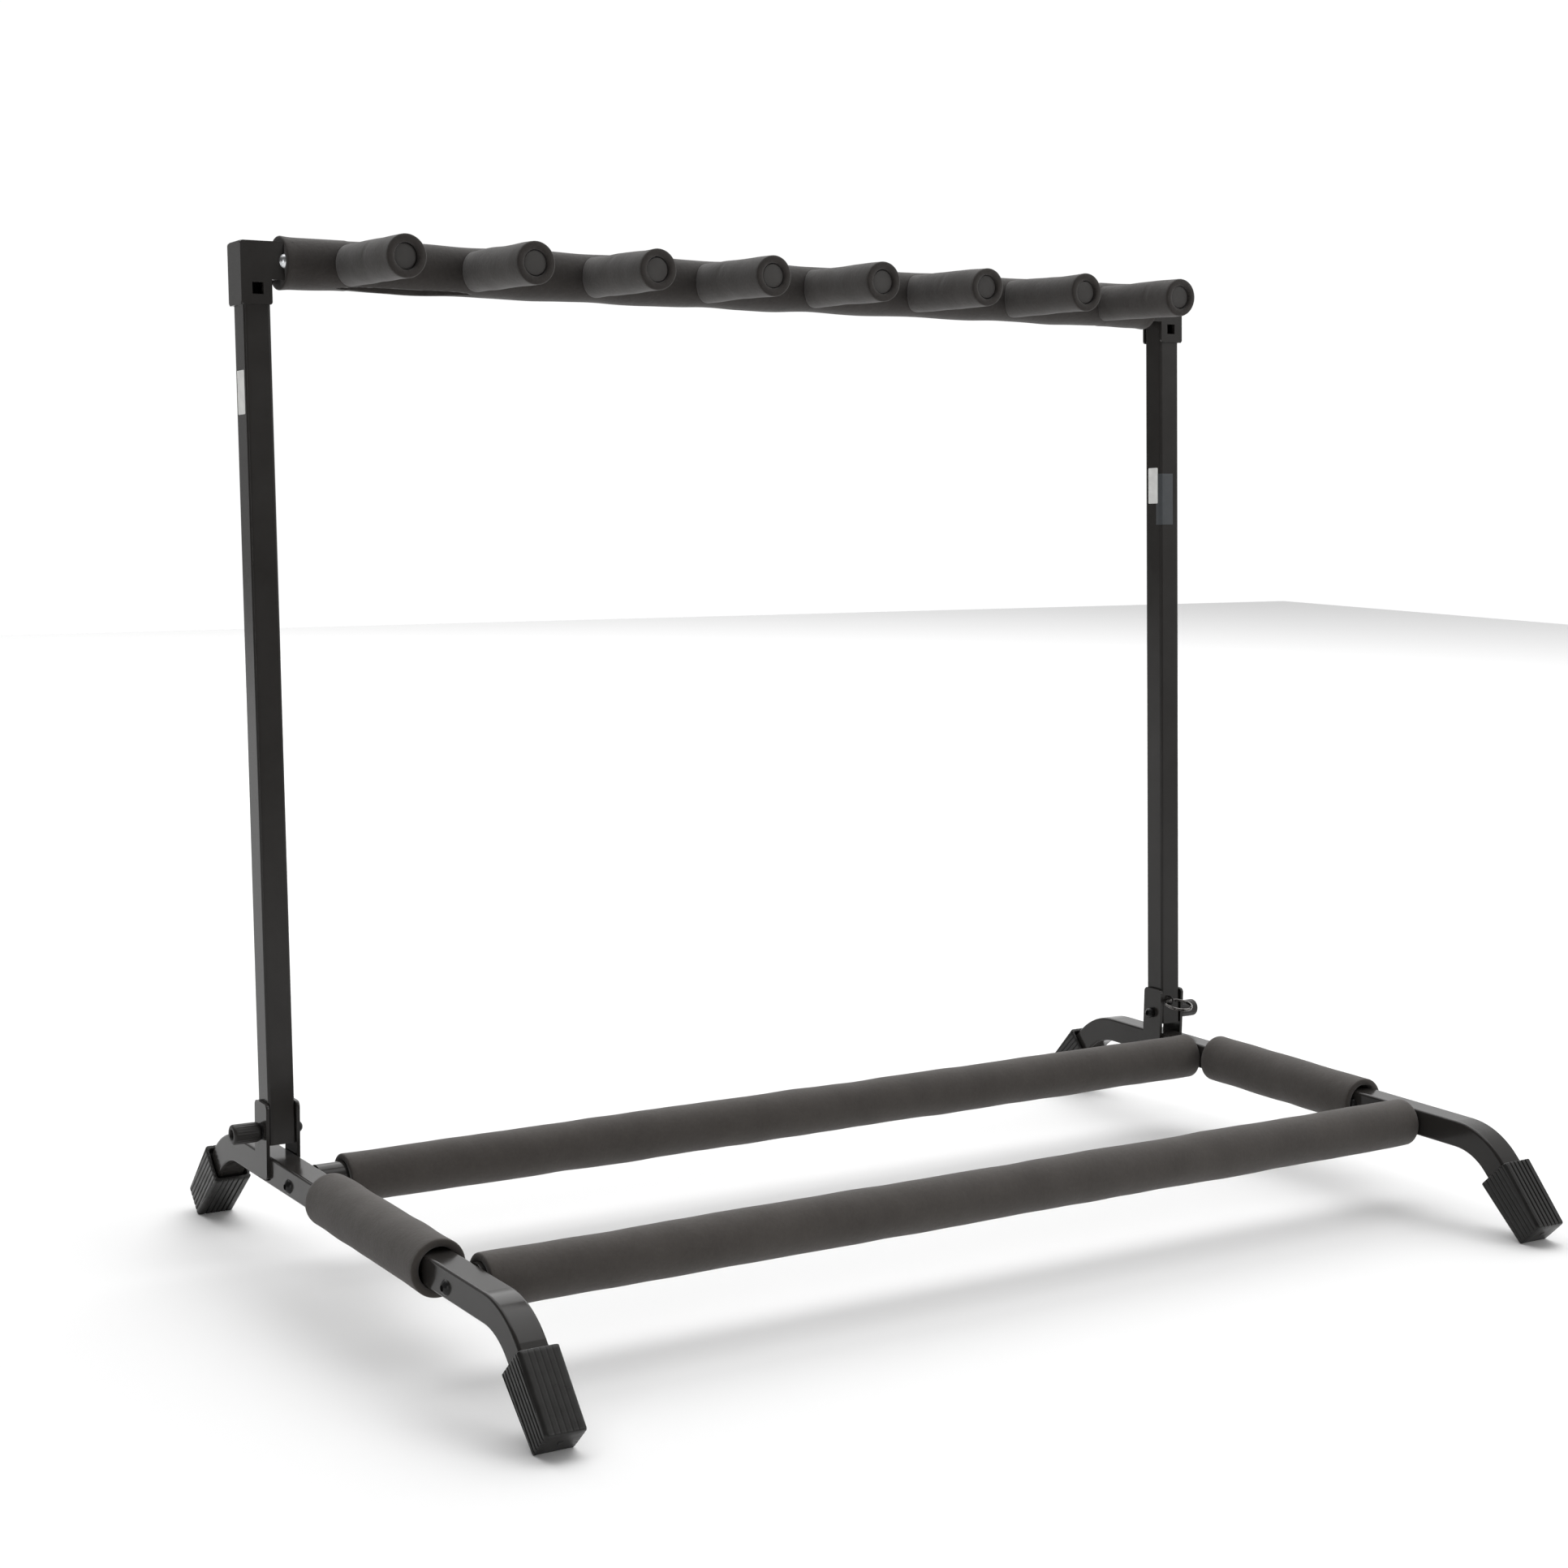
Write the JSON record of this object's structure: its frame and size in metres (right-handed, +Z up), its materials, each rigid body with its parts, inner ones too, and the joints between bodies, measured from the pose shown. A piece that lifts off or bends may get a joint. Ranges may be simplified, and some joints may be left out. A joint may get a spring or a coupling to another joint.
{
  "type": "guitar rack",
  "caption": "Folding floor rack for guitars: a two-bar foam-padded base on rubber boots, and an upright frame whose padded prongs hold the necks apart.",
  "frame": {"origin": "centre of the whole rack on the floor", "axes": "+X along the bars, left to right as seen from the prong side; -Y the way the prongs point; +Z up"},
  "size_m": [0.8776, 0.5824, 0.7117],
  "materials": {
    "black_coat": "satin black powder coat",
    "foam": "matte closed-cell foam",
    "boot_rubber": "satin ribbed rubber",
    "plug_plastic": "matte moulded",
    "knob_plastic": "matte moulded",
    "black_screws": "black oxide",
    "zinc_plate": "bright zinc plate",
    "ring_steel": "nickel plate"
  },
  "bodies": {
    "base": {"left_leg_tube": "black_coat", "right_leg_tube": "black_coat", "left_outer_pivot_plate": "black_coat", "left_inner_pivot_plate": "black_coat", "right_outer_pivot_plate": "black_coat", "right_inner_pivot_plate": "black_coat", "front_left_boot": "boot_rubber", "rear_left_boot": "boot_rubber", "front_right_boot": "boot_rubber", "rear_right_boot": "boot_rubber", "rear_bar_tube": "black_coat", "front_bar_tube": "black_coat", "rear_bar_foam": "foam", "front_bar_foam": "foam", "left_leg_foam": "foam", "right_leg_foam": "foam", "bar_end_plugs": "plug_plastic", "bar_bolts": "black_screws", "left_pivot_bolt": "black_screws", "right_pivot_bolt": "black_screws", "pivot_washers": "black_screws"},
    "upright_frame": {"left_upright_tube": "black_coat", "right_upright_tube": "black_coat", "left_corner_bracket": "black_coat", "right_corner_bracket": "black_coat", "top_bar_bolts": "zinc_plate", "top_bar_nuts": "zinc_plate", "top_bar_tube": "black_coat", "top_bar_foam": "foam", "ring_eyelet": "black_coat", "prong_1_tube": "black_coat", "prong_2_tube": "black_coat", "prong_3_tube": "black_coat", "prong_4_tube": "black_coat", "prong_5_tube": "black_coat", "prong_6_tube": "black_coat", "prong_7_tube": "black_coat", "prong_8_tube": "black_coat", "prong_1_foam": "foam", "prong_2_foam": "foam", "prong_3_foam": "foam", "prong_4_foam": "foam", "prong_5_foam": "foam", "prong_6_foam": "foam", "prong_7_foam": "foam", "prong_8_foam": "foam", "prong_1_plug": "plug_plastic", "prong_2_plug": "plug_plastic", "prong_3_plug": "plug_plastic", "prong_4_plug": "plug_plastic", "prong_5_plug": "plug_plastic", "prong_6_plug": "plug_plastic", "prong_7_plug": "plug_plastic", "prong_8_plug": "plug_plastic"},
    "left_knob_body": {"left_knob": "knob_plastic", "left_knob_nut": "zinc_plate"},
    "right_knob_body": {"right_knob": "knob_plastic", "right_knob_nut": "zinc_plate"},
    "ring": {"split_ring": "ring_steel"}
  },
  "joints": [
    {"name": "frame_fold", "type": "hinge", "parent": "base", "child": "upright_frame", "pos_m": [0, 0.1465, 0.09279], "axis": [1, 0, 0], "range_deg": [0, 90]},
    {"name": "left_knob_turn", "type": "hinge", "parent": "base", "child": "left_knob_body", "pos_m": [-0.405, 0.1465, 0.09279], "axis": [-1, 0, 0], "range_deg": [0, 720]},
    {"name": "right_knob_turn", "type": "hinge", "parent": "base", "child": "right_knob_body", "pos_m": [0.405, 0.1465, 0.09279], "axis": [1, 0, 0], "range_deg": [0, 720]},
    {"name": "ring_swing", "type": "hinge", "parent": "upright_frame", "child": "ring", "pos_m": [0.403, 0.13509, 0.1044], "axis": [1, 0, 0], "range_deg": [-97, 0]}
  ],
  "couplings": [
    {"joint": "ring_swing", "follows": "frame_fold", "ratio": -1.0777}
  ]
}
